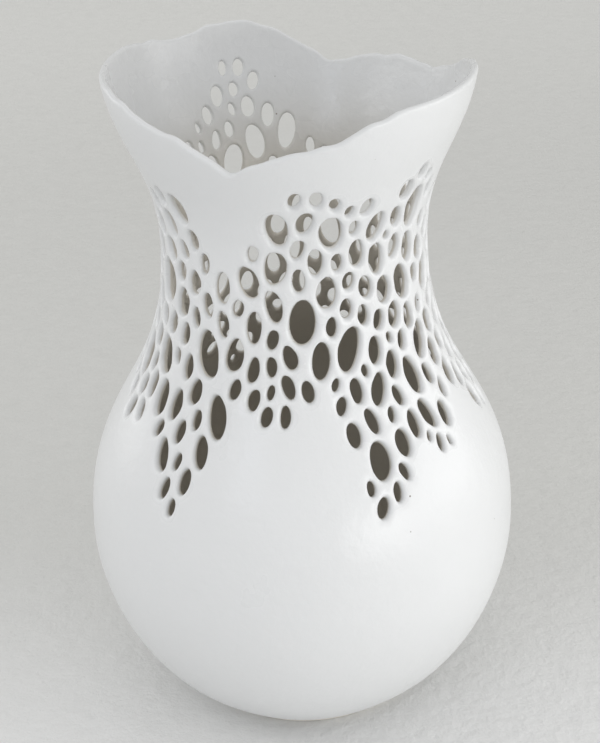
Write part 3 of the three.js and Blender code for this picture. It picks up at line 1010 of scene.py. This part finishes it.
class VASE_OT_foot(bpy.types.Operator):
    """Builds the trimmed, unglazed foot ring"""

    bl_idname = "vase.foot"
    bl_label = "Build Foot Ring"

    def execute(self, context):
        obj = mesh_object("turned_foot", *foot_ring(context.scene.vase_sizes))
        obj.data.materials.append(sanded_porcelain(context.scene.vase_colours))
        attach(obj, "root")
        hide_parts("foot_ring")
        return {"FINISHED"}


class VASE_OT_stage(bpy.types.Operator):
    """Lays the pale sheet, hangs the soft lights and sets up the camera"""

    bl_idname = "vase.stage"
    bl_label = "Set The Stage"

    def execute(self, context):
        stage = context.scene.vase_stage
        lay_sheet(stage)
        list(hang_lights(stage))
        light_room(stage)
        set_camera()
        return {"FINISHED"}


def lay_sheet(stage):
    """A sheet of paper that lies flat and sweeps up behind the vase in a quarter circle: a profile of
    depth and height carried straight from left to right."""
    front, back, bend_radius, top, half = -1.5, 1.2, 0.8, 2.5, 2.5
    t = np.linspace(0, math.pi / 2, 33)
    y = np.concatenate([[front], back + bend_radius * np.sin(t), [back + bend_radius]])
    z = np.concatenate([[0.0], bend_radius * (1 - np.cos(t)), [top]])
    x = np.linspace(-half, half, 9)
    grid = np.stack([np.tile(x, (len(y), 1)), *(np.tile(v[:, None], len(x)) for v in (y, z))], -1)
    rows = np.arange(grid.shape[0] * grid.shape[1]).reshape(grid.shape[:2])
    faces = np.stack([rows[:-1, :-1], rows[:-1, 1:], rows[1:, 1:], rows[1:, :-1]], -1).reshape(-1, 4)
    obj = mesh_object("paper_sheet", grid.reshape(-1, 3), [faces])
    obj.data.materials.append(pale_sheet(stage))
    return obj


def soft_light(name, place, aim, size, power, tint="#FFFFFF"):
    """A square lamp of a size in metres, at a place and aimed at a point."""
    lamp = bpy.data.lights.new(name, "AREA")
    lamp.shape, lamp.size, lamp.size_y = "RECTANGLE", size[0], size[1]
    lamp.energy, lamp.color = power, linear(tint)
    obj = bpy.data.objects.new(name, lamp)
    obj.visible_camera = False
    obj.location = place
    obj.rotation_euler = (Vector(aim) - Vector(place)).to_track_quat("-Z", "Y").to_euler()
    bpy.context.scene.collection.objects.link(obj)
    return obj


def hang_lights(stage):
    """Soft lamps all round: two low ones at the right, which light the belly more than the inside of
    the flare, a high window at the left, two lamps behind, and a small cool window pane at the front
    left, which the satin glaze mirrors."""
    middle = (0, 0, 0.12)
    return [
        soft_light("right_lamp", (0.8, -0.1, 0.24), middle, (0.7, 0.4), stage.right),
        soft_light("front_lamp", (0.6, -0.7, 0.15), middle, (0.5, 0.28), stage.front),
        soft_light("left_window", (-0.9, -0.1, 0.8), middle, (0.6, 0.6), stage.left),
        soft_light("back_lamp", (0.0, 0.7, 1.2), middle, (1.0, 0.6), stage.back),
        soft_light("rim_lamp", (-0.9, 0.5, 0.3), middle, (0.5, 0.5), stage.back),
        soft_light("window_pane", (-0.52, -0.83, 0.62), middle, (0.3, 0.3), stage.pane, "#E6EEFF"),
    ]


def light_room(stage):
    world = bpy.data.worlds.new("pale_room")
    world.use_nodes = True
    background = world.node_tree.nodes["Background"]
    background.inputs["Color"].default_value = rgba(linear("#FFFFFF"))
    background.inputs["Strength"].default_value = stage.sky
    bpy.context.scene.world = world


def set_camera():
    """A camera 675 mm from the middle of the belly and 30 degrees above it, turned down a little less,
    so that the vase fills the height, and rolled by under two degrees."""
    belly, far, above = 0.075, 0.675, 30 * DEGREE
    down, yaw, roll = 26.44 * DEGREE, 0.06 * DEGREE, 1.79 * DEGREE
    place = Vector((0, -far * math.cos(above), belly + far * math.sin(above)))
    look = Vector(
        (math.sin(yaw) * math.cos(down), math.cos(yaw) * math.cos(down), -math.sin(down))
    )
    camera = bpy.data.cameras.new("camera")
    camera.sensor_width, camera.sensor_fit = 36.0, "AUTO"
    camera.lens = 90.77
    camera.clip_start, camera.clip_end = 0.05, 20.0
    obj = bpy.data.objects.new("camera", camera)
    turn = look.to_track_quat("-Z", "Y").to_matrix().to_4x4() @ Matrix.Rotation(-roll, 4, "Z")
    obj.matrix_world = Matrix.Translation(place) @ turn
    bpy.context.scene.collection.objects.link(obj)
    bpy.context.scene.camera = obj
    bpy.context.scene.view_settings.view_transform = "Standard"


class VASE_PT_panel(bpy.types.Panel):
    """Lists the vase's pieces and their sizes and colours"""

    bl_label = "Pierced Vase"
    bl_space_type = "VIEW_3D"
    bl_region_type = "UI"
    bl_category = "Vase"

    def draw(self, context):
        for operator in OPERATORS:
            self.layout.operator(operator.bl_idname)
        for group in ("vase_sizes", "vase_colours", "vase_stage"):
            settings = getattr(context.scene, group)
            column = self.layout.column(align=True)
            for key in settings.__annotations__:
                column.prop(settings, key)


GROUPS = {"vase_sizes": VaseSizes, "vase_colours": VaseColours, "vase_stage": StageSettings}
OPERATORS = (VASE_OT_wall, VASE_OT_foot, VASE_OT_stage)


def register():
    for cls in (*GROUPS.values(), *OPERATORS, VASE_PT_panel):
        bpy.utils.register_class(cls)
    for name, cls in GROUPS.items():
        setattr(bpy.types.Scene, name, PointerProperty(type=cls))


def unregister():
    for name in GROUPS:
        delattr(bpy.types.Scene, name)
    for cls in reversed((*GROUPS.values(), *OPERATORS, VASE_PT_panel)):
        bpy.utils.unregister_class(cls)


def main():
    register()
    bpy.ops.vase.wall()
    bpy.ops.vase.foot()
    bpy.ops.vase.stage()


if __name__ == "__main__":
    main()
